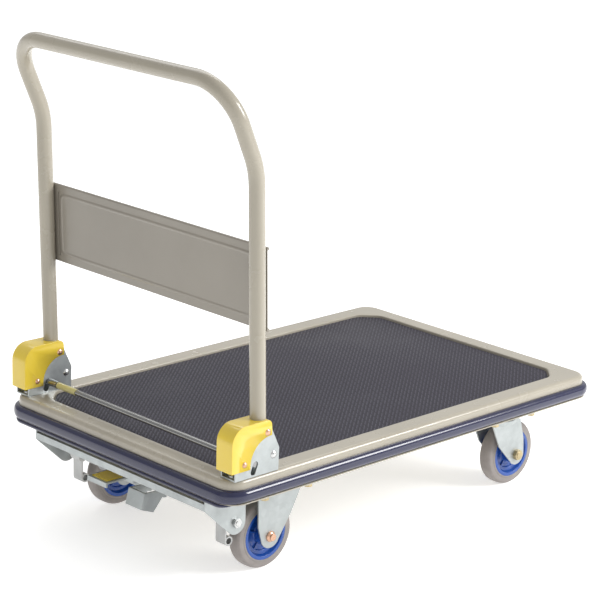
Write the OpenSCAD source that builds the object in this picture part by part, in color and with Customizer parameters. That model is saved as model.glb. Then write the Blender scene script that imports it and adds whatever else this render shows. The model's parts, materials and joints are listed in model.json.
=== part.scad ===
// Folding platform cart: pressed steel deck, fold-down tube handle, two rigid and two
// swivel casters, and a foot brake that acts on the two rigid wheels.
// +X runs from the handle end to the far end, +Y is the left side of a person pushing.
// The floor is z = 0.

/* [Deck] */
// Length of the pressed steel pan
deck_length = 900; // [700:5:1000]
// Width of the pressed steel pan
deck_width = 588; // [560:2:640]
// Height of the rim's top face above the floor
rim_height = 217; // [210:1:230]
// Plan radius of the pan's corners
deck_corner = 32; // [26:1:40]
// Radius of the bend between the rim and the side wall
rim_bend = 8; // [4:1:10]
// Steel thickness of the pan
pan_gauge = 2; // [1.6:0.2:2.6]
// Height of the pan from rim to lower lip
pan_depth = 41; // [38:1:46]
// Length of the rubber mat
mat_length = 824; // [600:4:830]
// Width of the rubber mat
mat_width = 508; // [480:2:510]
// Leg of the 45 degree cut on each corner of the mat
mat_chamfer = 34; // [20:1:50]
// Thickness of the mat
mat_thickness = 2.4; // [2:0.2:3]
// Depth of the mat's top face below the rim
mat_sink = 4.6; // [3:0.2:6]

/* [Bumper] */
// How far the bumper stands out from the pan
bumper_reach = 10; // [6:0.5:14]
// Height of the bumper along the sides and the far end
bumper_height = 21.5; // [18:0.5:24]
// Height of the upper bead at the handle end
end_bead_height = 26; // [22:0.5:28]
// Height of the lower bead at the handle end
lower_bead_height = 10; // [6:0.5:12]

/* [Handle] */
// Height of the fold pivot above the floor
pivot_height = 246; // [244:1:250]
// Distance of the fold pivot from the middle of the deck
pivot_reach = 356; // [350:1:360]
// Distance from the middle of the cart to each leg of the handle
leg_offset = 275; // [272:0.5:276]
// Outer diameter of the handle tube
tube_d = 27.2; // [25:0.2:27.4]
// Wall thickness of the handle tube
tube_wall = 1.6; // [1.2:0.1:2.4]
// Distance of the leg's axis behind the pivot
leg_setback = 19; // [18:0.5:21]
// Backward lean of the legs in the upright position
lean = 1.8; // [0:0.1:4]
// Length of a leg from pivot height to the kink
leg_length = 478; // [400:2:520]
// Angle of the backward kink
kink_angle = 21.8776; // [10:0.0001:30]
// Centre-line radius of the kink
kink_radius = 140.191; // [80:0.001:160]
// Length from the kink to the axis of the grip bar
grip_length = 157.4; // [140:0.2:200]
// Centre-line radius of the two grip corners
grip_corner = 74.5; // [50:0.5:90]
// Height of the sheet panel between the legs
panel_height = 136; // [80:2:160]
// Height of the panel's lower edge above the pivot
panel_base = 212; // [150:2:240]

/* [Handle brackets] */
// Clear width between the two plates of a bracket
bracket_gap = 30; // [29.6:0.1:31]
// Steel thickness of a bracket
bracket_gauge = 2.5; // [2:0.1:3]
// Wall thickness of the yellow covers
cover_wall = 1.5; // [1.2:0.1:1.8]
// Diameter of the release rod
rod_d = 10; // [9:0.5:10.5]
// Travel of the release rod along its slots
rod_travel = 13; // [10:0.5:13]
// Diameter of the fold pivot pins
pivot_d = 10; // [8:0.5:10]

/* [Wheels and casters] */
// Outside diameter of the tyres
wheel_d = 124; // [118:1:124]
// Width of the tyres
tyre_width = 30; // [26:1:32]
// Outside diameter of the blue wheel centres
hub_d = 92; // [84:1:96]
// Distance from the middle of the cart to each caster
caster_y = 193; // [180:1:200]
// Distance from the middle of the deck to the rigid casters' plates
rigid_x = 270; // [262:1:275]
// Distance from the rigid casters' plates back to their axles
rigid_setback = 21; // [18:1:24]
// Distance from the middle of the deck to the swivel pins
swivel_x = 306; // [290:1:320]
// Trail of the swivel casters
trail = 33; // [28:1:36]
// Height of the caster plates' top face
caster_height = 150; // [149:0.5:152]
// Diameter of the wheel axles
axle_d = 12; // [10:0.5:12]

/* [Foot brake] */
// Distance from the middle of the deck to the brake shaft
brake_x = 378; // [376:1:380]
// Height of the brake shaft
brake_height = 112; // [110:1:114]
// Diameter of the brake shaft
brake_shaft_d = 10; // [9:0.5:12]
// Outside diameter of the curled end of a brake shoe
shoe_curl_d = 17; // [15:0.5:18]
// Width of a brake shoe
shoe_width = 24; // [20:1:28]

/* [Hidden] */
$fn = 64;

// Clearance of a turning fit, of a fastener in its hole, and of parts that just touch
running = 0.05;
hole_play = 0.1;
touch = 0.05;
// Overshoot of a cutting tool past the face that it cuts
past = 1;

wheel_r = wheel_d / 2;
tube_r = tube_d / 2;
rod_r = rod_d / 2;
half_length = deck_length / 2;
half_width = deck_width / 2;
mat_top = rim_height - mat_sink;
tray_top = mat_top - mat_thickness;
tray_under = tray_top - pan_gauge;
pan_bottom = rim_height - pan_depth;
lip_reach = 5;
mat_gap = 1.5;

// Vertical layout of the bumper
bumper_top = rim_height - 16;
end_bead_base = bumper_top - end_bead_height;
lower_bead_reach = 7.5;
bead_overlap = 4;

// Width layout of a handle bracket
plate_in = leg_offset - bracket_gap / 2;
plate_out = leg_offset + bracket_gap / 2;
shell_in = plate_in - bracket_gauge - cover_wall;
shell_out = plate_out + bracket_gauge + cover_wall;
bracket_floor = rim_height + bracket_gauge;
plate_back = -440;

// Release rod: at rest at the upper end of its slots, which slope back as they go down
rod_x = -396;
rod_z = 237.5;
slot_angle = 22;
slot_width = rod_d + 1;

// Cover of a bracket: back face, top, lower edge, where its top opens for the leg, and
// the arc that is cut out of its cheeks round the pivot
cover_back = -449;
cover_top = 309;
cover_base = 232;
cover_mouth = -394;
cover_length = 100;
cover_cut_centre = [-363, 236];
cover_cut_r = 45.5;

// Rivets of a cover: along X and up from the floor
rivet_spots = [[-371, 288], [-421, 243]];
rivet_r = 2.5;
rivet_heads = [6, 5.2];
rivet_head_h = 2.6;
rivet_tail_r = 3.6;

// Bracket bolts on each side, along X
bracket_bolt_spots = [-429, -356];
bracket_bolt_r = 4;
bolt_head_h = 3;

// Handle geometry in the plane of a leg
kink_tangent = kink_radius * tan(kink_angle / 2);
grip_straight = grip_length - kink_tangent - grip_corner;
foot_top = 22;
bush_r = 7.5;

// The grip bar overhangs the bumper at the handle end, so the middle of the whole
// cart lies a little behind the middle of the deck
grip_back = pivot_reach + leg_setback * cos(lean) + leg_length * sin(lean)
    + grip_length * sin(lean + kink_angle) + tube_r;
frame_shift = (grip_back - half_length - bumper_reach) / 2;

// Caster layout
plate_gauge = 4;
plate_length = 120;
plate_width = 100;
caster_under = caster_height - plate_gauge;
bolt_dx = 50;
bolt_dy = 42;
fork_gap = 48;
fork_gauge = 3;
member_gauge = 2.3;
crown_base = 131;
race_r = 30;
ball_r = 4;
ball_count = 18;
race_height = 140;
kingpin_r = 6;
bearing_r = 13;
bearing_width = 44;
rigid_axle_x = -rigid_x - rigid_setback;
swivel_axle_x = swivel_x + trail;

// Brake layout: the shaft turns in two plates, whose front edge stands just inside the
// pan's end wall
brake_nose = -half_length + pan_gauge + 1;
brake_plate_y = 226;
brake_plate_gauge = 2.5;
shoe_drop = 42;
shoe_lead = 5.5;
strap_gauge = 3;
collar_r = 10;
pedal_gauge = 3;
channel_base = 148.5;

// ---------------------------------------------------------------- shared shapes

// Moves the deck-centred layout so that the whole cart is centred on the origin
module in_frame() translate([frame_shift, 0, 0]) children();

// Rectangle with its four corners rounded
module rounded_rect(length, width, radius) {
    square([length - 2 * radius, width], center = true);
    square([length, width - 2 * radius], center = true);
    for (sx = [-1, 1], sy = [-1, 1])
        translate([sx * (length / 2 - radius), sy * (width / 2 - radius)]) circle(radius);
}

// Rectangle with its four corners cut at 45 degrees
module chamfered_rect(length, width, leg) {
    polygon([[length / 2 - leg, width / 2], [length / 2, width / 2 - leg],
             [length / 2, leg - width / 2], [length / 2 - leg, -width / 2],
             [leg - length / 2, -width / 2], [-length / 2, leg - width / 2],
             [-length / 2, width / 2 - leg], [leg - length / 2, width / 2]]);
}

// Runs a profile along one long side of the pan; +x of the profile points outwards
module along_side(sy) {
    straight = deck_length - 2 * deck_corner;
    translate([-sy * straight / 2, sy * half_width, 0]) rotate([90, 0, sy > 0 ? 90 : -90])
        linear_extrude(straight) children();
}

// Runs a profile along one end of the pan
module along_end(sx) {
    straight = deck_width - 2 * deck_corner;
    translate([sx * half_length, sx * straight / 2, 0]) rotate([90, 0, sx > 0 ? 0 : 180])
        linear_extrude(straight) children();
}

// Runs a profile round one corner of the pan
module round_corner(sx, sy) {
    turn = sx > 0 ? (sy > 0 ? 0 : 270) : (sy > 0 ? 90 : 180);
    translate([sx * (half_length - deck_corner), sy * (half_width - deck_corner), 0])
        rotate([0, 0, turn]) rotate_extrude(angle = 90) translate([deck_corner, 0]) children();
}

// Part of a disc that bulges towards +x, standing on the y axis
module bead(reach, height) {
    radius = (height * height / 4 + reach * reach) / (2 * reach);
    intersection() {
        translate([reach - radius, 0]) circle(radius);
        translate([0, -height / 2]) square([reach, height]);
    }
}

// Flat plate standing in the XZ plane between two distances from the middle of the cart
module upright_plate(y0, y1) {
    translate([0, y1, 0]) rotate([90, 0, 0]) linear_extrude(y1 - y0) children();
}

// Round bar along Y between two distances from the middle of the cart
module bar_y(radius, y0, y1) {
    translate([0, y0, 0]) rotate([-90, 0, 0]) cylinder(r = radius, h = y1 - y0);
}

// Hexagonal prism along +z, measured across its flats
module hexagon(flats, height) {
    cylinder(r = flats / 2 / cos(30), h = height, $fn = 6);
}

// Shallow dome along +z
module dome(radius, height) {
    ball = (radius * radius + height * height) / (2 * height);
    intersection() {
        translate([0, 0, height - ball]) sphere(ball);
        cylinder(r = radius, h = height);
    }
}

// Straight slot in the XZ plane that the release rod slides along
module rod_slot(y0, y1) {
    translate([rod_x, 0, rod_z]) rotate([0, slot_angle, 0]) {
        bar_y(slot_width / 2, y0, y1);
        translate([0, 0, -rod_travel]) bar_y(slot_width / 2, y0, y1);
        translate([-slot_width / 2, y0, -rod_travel]) cube([slot_width, y1 - y0, rod_travel]);
    }
}

// Close-wound spring along +z: a stack of rings joined by a thin sleeve inside the wire
module coil_spring(coil_r, wire_r, turns) {
    rotate_extrude() {
        for (i = [0 : turns - 1])
            translate([coil_r, wire_r + i * 2 * wire_r]) circle(wire_r, $fn = 24);
        translate([coil_r - wire_r / 2, wire_r])
            square([wire_r, (turns - 1) * 2 * wire_r]);
    }
}

// ---------------------------------------------------------------- deck

module pan_edge_profile() {
    intersection() {
        difference() {
            translate([-rim_bend, rim_height - rim_bend]) circle(rim_bend);
            translate([-rim_bend, rim_height - rim_bend]) circle(rim_bend - pan_gauge);
        }
        translate([-rim_bend, rim_height - rim_bend]) square(rim_bend);
    }
    translate([-pan_gauge, pan_bottom]) square([pan_gauge, pan_depth - rim_bend]);
    translate([-pan_gauge, pan_bottom]) square([pan_gauge + lip_reach, pan_gauge]);
}

module deck_pan() {
    opening = 2 * mat_gap;
    color("#c9c3b2") in_frame() difference() {
        union() {
            for (s = [-1, 1]) {
                along_side(s) pan_edge_profile();
                along_end(s) pan_edge_profile();
                for (t = [-1, 1]) round_corner(s, t) pan_edge_profile();
            }
            translate([0, 0, rim_height - pan_gauge]) linear_extrude(pan_gauge) difference() {
                rounded_rect(deck_length - 2 * rim_bend, deck_width - 2 * rim_bend,
                             deck_corner - rim_bend);
                chamfered_rect(mat_length + opening, mat_width + opening, mat_chamfer);
            }
            translate([0, 0, tray_under]) linear_extrude(rim_height - tray_under) difference() {
                chamfered_rect(mat_length + opening + 2 * pan_gauge,
                               mat_width + opening + 2 * pan_gauge, mat_chamfer + pan_gauge / 2);
                chamfered_rect(mat_length + opening, mat_width + opening, mat_chamfer);
            }
            translate([0, 0, tray_under]) linear_extrude(pan_gauge)
                chamfered_rect(mat_length + opening + pan_gauge,
                               mat_width + opening + pan_gauge, mat_chamfer);
        }
        for (s = [-1, 1], x = bracket_bolt_spots)
            translate([x, s * leg_offset, rim_height - pan_gauge - past])
                cylinder(r = bracket_bolt_r + hole_play, h = pan_gauge + 2 * past);
    }
}

module deck_mat() {
    color("#4a4656") in_frame() translate([0, 0, tray_top])
        linear_extrude(mat_thickness) chamfered_rect(mat_length, mat_width, mat_chamfer);
}

module side_bead_profile() {
    translate([touch, bumper_top - bumper_height / 2]) bead(bumper_reach - touch, bumper_height);
}

module end_bead_profile() {
    translate([touch, bumper_top - end_bead_height / 2])
        bead(bumper_reach - touch, end_bead_height);
    translate([touch, end_bead_base - lower_bead_height / 2 + bead_overlap])
        bead(lower_bead_reach, lower_bead_height);
}

module lip_profile() {
    translate([-touch, pan_bottom - touch]) square([lip_reach + 2 * touch, pan_gauge + 2 * touch]);
}

module edge_bumper() {
    color("#23255a") in_frame() difference() {
        union() {
            for (s = [-1, 1]) {
                along_side(s) side_bead_profile();
                round_corner(1, s) side_bead_profile();
                round_corner(-1, s) end_bead_profile();
            }
            along_end(1) side_bead_profile();
            along_end(-1) end_bead_profile();
        }
        along_end(-1) lip_profile();
        for (s = [-1, 1]) round_corner(-1, s) lip_profile();
    }
}

// Channel across the deck that carries a pair of casters
module cross_member(x, relief) {
    depth = tray_under - touch - caster_height;
    span = 2 * (half_width - 44);
    flange = 14;
    translate([x, -span / 2, 0]) difference() {
        union() {
            translate([-plate_length / 2, 0, caster_height]) cube([plate_length, span, member_gauge]);
            for (s = [-1, 1]) {
                translate([s * (plate_length / 2 - member_gauge / 2) - member_gauge / 2, 0,
                           caster_height])
                    cube([member_gauge, span, depth]);
                translate([s * (plate_length / 2 + flange / 2 - member_gauge / 2) - flange / 2, 0,
                           caster_height + depth - member_gauge])
                    cube([flange, span, member_gauge]);
            }
        }
        for (s = [-1, 1]) translate([0, span / 2 + s * caster_y, caster_height - past]) {
            caster_hole_spots() cylinder(r = 4 + hole_play, h = member_gauge + 2 * past);
            if (relief) cylinder(r = 15, h = member_gauge + 2 * past);
        }
    }
}

// Puts its children at the four bolts of a caster plate
module caster_hole_spots() {
    for (sx = [-1, 1], sy = [-1, 1]) translate([sx * bolt_dx, sy * bolt_dy, 0]) children();
}

module cross_member_handle_end() {
    color("#c4beae") in_frame() cross_member(-rigid_x, false);
}

module cross_member_far_end() {
    color("#c4beae") in_frame() cross_member(swivel_x, true);
}

// Three hat-section ribs along the underside of the deck
module deck_stiffeners() {
    rib_height = 28;
    rib_width = 40;
    rib_flange = 12;
    rib_start = plate_length / 2 + 16 - rigid_x;
    rib_length = swivel_x - plate_length / 2 - 16 - rib_start;
    base = tray_under - touch - rib_height;
    color("#c4beae") in_frame() for (y = [-150, 0, 150])
        translate([rib_start, y, base]) rotate([90, 0, 90]) linear_extrude(rib_length) {
            translate([-rib_width / 2, 0]) square([rib_width, pan_gauge]);
            for (s = [-1, 1]) {
                translate([s * (rib_width - pan_gauge) / 2 - pan_gauge / 2, 0])
                    square([pan_gauge, rib_height]);
                translate([s * (rib_width + rib_flange) / 2 - rib_flange / 2, rib_height - pan_gauge])
                    square([rib_flange, pan_gauge]);
            }
        }
}

// ---------------------------------------------------------------- handle brackets

module plate_outline() {
    polygon([[plate_back, rim_height], [-345, rim_height], [-344, 256], [-361, 292],
             [-365, 302], [-428, 302], [plate_back, 288]]);
}

// Steel channel that holds one leg of the handle, with its floor on the rim
module handle_bracket() {
    difference() {
        union() {
            upright_plate(plate_in - bracket_gauge, plate_in) plate_outline();
            upright_plate(plate_out, plate_out + bracket_gauge) plate_outline();
            translate([plate_back, plate_in - touch, rim_height])
                cube([95, bracket_gap + 2 * touch, bracket_gauge]);
        }
        translate([-pivot_reach, 0, pivot_height]) bar_y(pivot_d / 2 + 0.02, shell_in, shell_out);
        rod_slot(shell_in, shell_out);
        for (p = rivet_spots)
            translate([p[0], 0, p[1]]) bar_y(rivet_r + 0.02, shell_in, shell_out);
        for (x = bracket_bolt_spots) translate([x, leg_offset, rim_height - past])
            cylinder(r = bracket_bolt_r + hole_play, h = bracket_gauge + 2 * past);
    }
}

module handle_bracket_left() {
    color("#b9bec0") in_frame() handle_bracket();
}

module handle_bracket_right() {
    color("#b9bec0") in_frame() mirror([0, 1, 0]) handle_bracket();
}

// Outline of a cover seen from the side: round at the back, cut away by an arc
// round the pivot so that the plate shows
module cover_outline(inset) {
    back = cover_back + inset;
    top = cover_top - inset;
    shoulder = 30 - inset;
    difference() {
        union() {
            translate([back + shoulder, top - shoulder]) circle(shoulder);
            translate([back, cover_base]) square([shoulder, top - shoulder - cover_base]);
            polygon([[back + shoulder, cover_base], [-361.5, cover_base], [-361.5, 291],
                     [-366, top], [back + shoulder, top]]);
        }
        if (inset == 0) translate(cover_cut_centre) circle(cover_cut_r);
    }
}

module cover_plan(inset) {
    corner = 9 - inset;
    back = cover_back + inset;
    for (y = [shell_in + inset + corner, shell_out - inset - corner])
        translate([back + corner, y]) circle(corner);
    translate([back, shell_in + inset + corner])
        square([corner, shell_out - shell_in - 2 * (inset + corner)]);
    translate([back + corner, shell_in + inset])
        square([cover_length, shell_out - shell_in - 2 * inset]);
}

// Moulded cover over the back and top of a bracket, open in front for the folding leg
module bracket_cover() {
    difference() {
        intersection() {
            upright_plate(shell_in, shell_out) cover_outline(0);
            translate([0, 0, rim_height]) linear_extrude(cover_length) cover_plan(0);
        }
        intersection() {
            upright_plate(shell_in + cover_wall, shell_out - cover_wall) union() {
                cover_outline(cover_wall);
                translate([cover_back + cover_wall, rim_height])
                    square([cover_length, cover_base + past - rim_height]);
            }
            translate([0, 0, rim_height - past]) linear_extrude(cover_length) cover_plan(cover_wall);
        }
        translate([cover_mouth, plate_in - bracket_gauge, 290])
            cube([60, bracket_gap + 2 * bracket_gauge, 40]);
        for (p = rivet_spots)
            translate([p[0], 0, p[1]]) bar_y(rivet_r + 0.02, shell_in - past, shell_out + past);
    }
}

module bracket_cover_left() {
    color("#f2d21c") in_frame() bracket_cover();
}

module bracket_cover_right() {
    color("#f2d21c") in_frame() mirror([0, 1, 0]) bracket_cover();
}

// Rivet through one plate and the cover beside it; the domed head is outside
module rivet(y_plate, y_shell, outward, head_r) {
    tail = 1.5;
    low = min(y_plate - outward * tail, y_shell);
    high = max(y_plate - outward * tail, y_shell);
    bar_y(rivet_r, low, high);
    bar_y(rivet_tail_r, min(y_plate, y_plate - outward * tail),
          max(y_plate, y_plate - outward * tail));
    translate([0, y_shell, 0]) rotate([outward > 0 ? -90 : 90, 0, 0]) dome(head_r, rivet_head_h);
}

module cover_rivets() {
    color("#c08a5a") in_frame() for (s = [0, 1], i = [0, 1])
        mirror([0, s, 0]) translate([rivet_spots[i][0], 0, rivet_spots[i][1]]) {
            rivet(plate_out, shell_out, 1, rivet_heads[i]);
            rivet(plate_in, shell_in, -1, rivet_heads[i]);
        }
}

module bracket_bolts() {
    color("#c9ccd0") in_frame() for (s = [-1, 1], x = bracket_bolt_spots)
        translate([x, s * leg_offset, 0]) {
            translate([0, 0, bracket_floor]) cylinder(r = 7, h = bolt_head_h);
            translate([0, 0, rim_height - 14]) cylinder(r = bracket_bolt_r, h = 14 + bracket_gauge);
        }
}

module bracket_nuts() {
    nut_h = 6.5;
    color("#c9ccd0") in_frame() for (s = [-1, 1], x = bracket_bolt_spots)
        translate([x, s * leg_offset, rim_height - pan_gauge - nut_h]) difference() {
            hexagon(13, nut_h);
            translate([0, 0, -past]) cylinder(r = bracket_bolt_r + 0.02, h = nut_h + 2 * past);
        }
}

module pivot_pins() {
    head_r = 6.8;
    head_h = 3;
    y0 = plate_in - bracket_gauge;
    y1 = plate_out + bracket_gauge;
    color("#d5d7d9") in_frame() for (s = [0, 1])
        mirror([0, s, 0]) translate([-pivot_reach, 0, pivot_height]) {
            bar_y(pivot_d / 2, y0, y1);
            translate([0, y1, 0]) rotate([-90, 0, 0]) dome(head_r, head_h);
            translate([0, y0, 0]) rotate([90, 0, 0]) dome(head_r, head_h);
        }
}

// ---------------------------------------------------------------- handle

// Puts the pivot at the origin, with the legs leaning back
module at_handle() {
    translate([-pivot_reach, 0, pivot_height]) rotate([0, -lean, 0]) children();
}

// Puts the corner point of the kink at the origin, with +z along the upper part
module at_kink() {
    translate([-leg_setback, 0, leg_length]) rotate([0, -kink_angle, 0]) children();
}

// One leg with its kink and its grip corner
module handle_side(radius, base) {
    translate([-leg_setback, leg_offset, base])
        cylinder(r = radius, h = leg_length - kink_tangent - base);
    translate([-leg_setback - kink_radius, leg_offset, leg_length - kink_tangent])
        rotate([90, 0, 0]) rotate_extrude(angle = kink_angle)
            translate([kink_radius, 0]) circle(radius);
    at_kink() translate([0, leg_offset, kink_tangent])
        cylinder(r = radius, h = grip_straight);
    at_kink() translate([0, leg_offset - grip_corner, kink_tangent + grip_straight])
        rotate([90, 0, 90]) rotate_extrude(angle = 90)
            translate([grip_corner, 0]) circle(radius);
}

// Bent tube: both legs are hollow as far as the grip bar between the two corners
module handle_tube() {
    half_bar = leg_offset - grip_corner;
    color("#c9c3b2") in_frame() at_handle() difference() {
        union() {
            for (s = [0, 1]) mirror([0, s, 0]) handle_side(tube_r, foot_top);
            at_kink() translate([0, 0, grip_length]) bar_y(tube_r, -half_bar, half_bar);
        }
        for (s = [0, 1]) mirror([0, s, 0]) handle_side(tube_r - tube_wall, foot_top);
    }
}

// Sheet panel on the deck side of the legs, with a raised frame and rolled edges
module handle_panel() {
    gauge = 1.6;
    half_span = leg_offset + 8;
    roll_r = 3;
    frame_end = 31;
    frame_edge = 13;
    frame_w = 3;
    frame_rise = 1.2;
    frame_span = 2 * (half_span - frame_end);
    frame_height = panel_height - 2 * frame_edge;
    color("#b5ae9f") in_frame() at_handle() translate([tube_r - leg_setback + touch, 0, panel_base]) {
        translate([0, -half_span, 0]) cube([gauge, 2 * half_span, panel_height]);
        for (z = [0, panel_height]) translate([roll_r, 0, z])
            bar_y(roll_r, -half_span, half_span);
        translate([-frame_rise, -frame_span / 2, frame_edge]) difference() {
            cube([frame_rise, frame_span, frame_height]);
            translate([-past, frame_w, frame_w])
                cube([frame_rise + 2 * past, frame_span - 2 * frame_w, frame_height - 2 * frame_w]);
        }
    }
}

// Forged foot in the lower end of each leg: a plug in the tube and an eye on the pivot
module handle_feet() {
    foot_width = bracket_gap - 2;
    plug_top = 62;
    foot_back = -31;
    color("#a9adb0") in_frame() at_handle() for (s = [-1, 1]) translate([0, s * leg_offset, 0]) {
        difference() {
            union() {
                upright_plate(-foot_width / 2, foot_width / 2) {
                    circle(13);
                    polygon([[foot_back, foot_top], [-6, foot_top], [8, 10.2], [8, -10.2],
                             [-4, -16], [-24, -14], [foot_back, -2]]);
                }
                translate([-leg_setback, 0, foot_top - touch])
                    cylinder(r = tube_r - tube_wall - touch, h = plug_top - foot_top);
            }
            bar_y(bush_r + 0.02, -foot_width, foot_width);
        }
    }
}

module pivot_bushes() {
    bush_width = bracket_gap - 1;
    color("#b08d57") in_frame() at_handle() for (s = [-1, 1])
        translate([0, s * leg_offset, 0]) difference() {
            bar_y(bush_r, -bush_width / 2, bush_width / 2);
            bar_y(pivot_d / 2 + running, -bush_width, bush_width);
        }
}

// ---------------------------------------------------------------- release rod

module release_rod() {
    reach = plate_out + 1;
    collar_end = plate_in - bracket_gauge - 4;
    color("#cfd2d4") in_frame() translate([rod_x, 0, rod_z]) {
        bar_y(rod_r, -reach, reach);
        for (s = [0, 1]) mirror([0, s, 0]) bar_y(rod_r + 1.5, collar_end - 24, collar_end);
    }
}

// Loose plastic sleeve that marks where to step on the rod
module rod_sleeve() {
    sleeve_start = 176;
    sleeve_length = 52;
    color("#e8d23a") in_frame() translate([rod_x, 0, rod_z]) difference() {
        bar_y(rod_r + 0.8, sleeve_start, sleeve_start + sleeve_length);
        bar_y(rod_r + touch, sleeve_start - past, sleeve_start + sleeve_length + past);
    }
}

// Return springs of the rod, one behind each leg
module rod_springs() {
    color("#9da0a3") in_frame() for (s = [-1, 1])
        translate([rod_x - 14, s * (leg_offset - 8), rod_z + 9]) coil_spring(3.6, 1.2, 13);
}

// ---------------------------------------------------------------- foot brake

// Hanging plate that carries one end of the brake shaft
module brake_bracket() {
    lobe_r = 21;
    top = tray_under - touch;
    seam = 16;
    back = brake_nose + 34;
    difference() {
        union() {
            upright_plate(brake_plate_y, brake_plate_y + brake_plate_gauge) {
                translate([-brake_x, brake_height]) circle(lobe_r);
                polygon([[brake_nose, channel_base - 0.5], [-brake_x - 14.3, brake_height - 15.4],
                         [lobe_r - brake_x, brake_height], [lobe_r - brake_x, top], [back, top],
                         [back, pan_bottom + 12], [brake_nose, pan_bottom + 12]]);
            }
            translate([back, brake_plate_y - seam, top - brake_plate_gauge])
                cube([lobe_r - brake_x - back, seam + brake_plate_gauge, brake_plate_gauge]);
        }
        translate([-brake_x, 0, brake_height])
            bar_y(brake_shaft_d / 2 + running, brake_plate_y - past, brake_plate_y + 5);
    }
}

module brake_bracket_left() {
    color("#b9bec0") in_frame() brake_bracket();
}

module brake_bracket_right() {
    color("#b9bec0") in_frame() mirror([0, 1, 0]) brake_bracket();
}

// Bar across the cart that ties the lower front corners of the brake brackets together
module brake_cross_channel() {
    depth = 16;
    height = 12;
    color("#b9bec0") in_frame() translate([brake_nose, brake_plate_y, channel_base]) rotate([90, 0, 0])
        linear_extrude(2 * brake_plate_y) {
            square([depth, pan_gauge]);
            square([pan_gauge, height]);
            translate([0, height - pan_gauge]) square([depth, pan_gauge]);
        }
}

// Puts the brake shaft's axis at the origin
module at_brake() {
    translate([-brake_x, 0, brake_height]) children();
}

module brake_shaft() {
    reach = brake_plate_y + brake_plate_gauge + 6.5;
    color("#c2c5c8") in_frame() at_brake() bar_y(brake_shaft_d / 2, -reach, reach);
}

// Shoe: a strap from the shaft whose lower end is curled round to bear on the tread
module brake_shoe() {
    curl_r = shoe_curl_d / 2;
    strap_x = shoe_lead - curl_r;
    y0 = caster_y - shoe_width / 2;
    y1 = caster_y + shoe_width / 2;
    difference() {
        union() {
            upright_plate(y0, y1) {
                circle(collar_r);
                translate([strap_x, -shoe_drop]) square([strap_gauge, shoe_drop]);
                translate([shoe_lead, -shoe_drop]) circle(curl_r);
            }
        }
        bar_y(brake_shaft_d / 2 + 0.02, y0 - past, y1 + past);
        translate([shoe_lead, 0, -shoe_drop]) bar_y(curl_r - strap_gauge, y0 - past, y1 + past);
    }
}

module brake_shoe_left() {
    color("#a9acae") in_frame() at_brake() brake_shoe();
}

module brake_shoe_right() {
    color("#a9acae") in_frame() mirror([0, 1, 0]) at_brake() brake_shoe();
}

// Pedal that a foot presses down to put the brake on
module brake_pedal() {
    y0 = 28;
    y1 = 80;
    front = -half_length + brake_x + 2;
    deck = 8;
    color("#b9bec0") in_frame() at_brake() difference() {
        upright_plate(y0, y1) {
            circle(collar_r);
            translate([front, deck]) square([6 - front, pedal_gauge]);
            translate([front, deck - 6]) square([pedal_gauge, 6 + pedal_gauge]);
        }
        bar_y(brake_shaft_d / 2 + 0.02, y0 - past, y1 + past);
    }
}

// Lower pedal that a toe lifts to let the brake off
module release_pedal() {
    y0 = -46;
    y1 = -4;
    wall = 3;
    color("#b9bec0") in_frame() at_brake() difference() {
        union() {
            for (y = [y0, y1 - wall]) upright_plate(y, y + wall) {
                circle(collar_r);
                polygon([[-46, 8], [-8, 6], [-6, -8], [-26, -31], [-54, -20]]);
            }
            upright_plate(y0, y1) polygon([[-46, 8], [-43, 8], [-51, -21], [-54, -20]]);
            upright_plate(y0, y1) polygon([[-54, -20], [-26, -31], [-26, -28], [-53, -17]]);
        }
        bar_y(brake_shaft_d / 2 + 0.02, y0 - past, y1 + past);
    }
}

module pedal_pad() {
    front = -half_length + brake_x + 2;
    color("#e3c41f") in_frame() at_brake() translate([front + 6, 34, 8 + pedal_gauge])
        cube([40, 40, 1.6]);
}

module shaft_nuts() {
    nut_h = 5;
    color("#c9ccd0") in_frame() at_brake() for (s = [0, 1]) mirror([0, s, 0])
        translate([0, brake_plate_y + brake_plate_gauge + 0.4, 0]) rotate([-90, 0, 0]) difference() {
            hexagon(15, nut_h);
            translate([0, 0, -past]) cylinder(r = brake_shaft_d / 2 + 0.02, h = nut_h + 2 * past);
        }
}

// Torsion spring round the shaft that snaps the brake over centre
module brake_spring() {
    coils = 8;
    wire_r = 1.25;
    spring_r = brake_shaft_d / 2 + wire_r + 0.6;
    spring_y = 108;
    color("#9da0a3") in_frame() at_brake() translate([0, spring_y, 0]) rotate([-90, 0, 0])
        coil_spring(spring_r, wire_r, coils);
}

// ---------------------------------------------------------------- casters

// Mounting plate of a caster, centred on its own middle, with its four bolt holes
module caster_plate() {
    difference() {
        translate([-plate_length / 2, -plate_width / 2, caster_under])
            cube([plate_length, plate_width, plate_gauge]);
        translate([0, 0, caster_under - past])
            caster_hole_spots() cylinder(r = 4 + hole_play, h = plate_gauge + 2 * past);
    }
}

// The two legs of a fork from one outline, either side of the wheel
module fork_legs(axle_x) {
    difference() {
        for (s = [-1, 1]) {
            y = s > 0 ? fork_gap / 2 : -fork_gap / 2 - fork_gauge;
            upright_plate(y, y + fork_gauge) children();
        }
        translate([axle_x, 0, wheel_r]) bar_y(axle_d / 2 + 0.02, -fork_gap, fork_gap);
    }
}

module rigid_fork() {
    lobe_r = 21;
    caster_plate();
    fork_legs(-rigid_setback) {
        translate([-rigid_setback, wheel_r]) circle(lobe_r);
        polygon([[-49, caster_under], [-49, 84], [-rigid_setback - 19.4, wheel_r - 8],
                 [-rigid_setback + 14.8, wheel_r - 14.8], [26, 94], [48, 135], [48, caster_under]]);
    }
}

module rigid_fork_left() {
    color("#b9bec0") in_frame() translate([-rigid_x, caster_y, 0]) rigid_fork();
}

module rigid_fork_right() {
    color("#b9bec0") in_frame() translate([-rigid_x, -caster_y, 0]) rigid_fork();
}

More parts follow.
